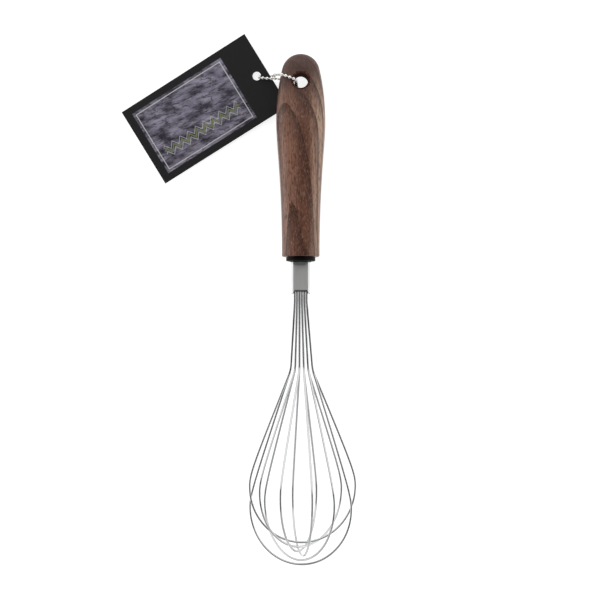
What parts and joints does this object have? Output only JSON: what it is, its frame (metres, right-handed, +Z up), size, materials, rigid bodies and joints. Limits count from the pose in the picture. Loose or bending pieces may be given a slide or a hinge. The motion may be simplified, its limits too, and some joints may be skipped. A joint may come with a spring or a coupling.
{
  "type": "balloon whisk",
  "caption": "Balloon whisk with a hardwood handle, steel wire loops in a flattened ferrule, and a hang tag on a ball chain.",
  "frame": {"origin": "the point on the table under the middle of the whisk's length and width, as it lies", "axes": "+Y towards the free end of the handle, +Z up from the table, +X to the right when seen from above with the handle at the top"},
  "size_m": [0.1319, 0.2924, 0.058],
  "materials": {
    "walnut": "turned and flattened walnut, sanded and oiled to a satin",
    "black_plastic": "moulded, satin",
    "satin_steel": "satin stainless tube",
    "polished_steel": "drawn and polished stainless wire",
    "nickel": "bright nickel plating",
    "printed_card": "matt printed card"
  },
  "bodies": {
    "whisk": {"handle": "walnut", "collar": "black_plastic", "ferrule": "satin_steel", "wire_loop_1": "polished_steel", "wire_loop_2": "polished_steel", "wire_loop_3": "polished_steel", "wire_loop_4": "polished_steel", "wire_loop_5": "polished_steel", "wire_loop_6": "polished_steel"},
    "chain": {"ball_chain": "nickel", "chain_clasp": "nickel"},
    "tag": {"hang_tag": "printed_card"}
  },
  "joints": [
    {"name": "chain_swing", "type": "hinge", "parent": "whisk", "child": "chain", "pos_m": [-0.00034, 0.12454, 0.00945], "axis": [0, 0, 1], "range_deg": [-15, 3]},
    {"name": "tag_swing", "type": "hinge", "parent": "chain", "child": "tag", "pos_m": [-0.02544, 0.12879, 0.0024], "axis": [0, 0, 1], "range_deg": [-45, 3]}
  ]
}
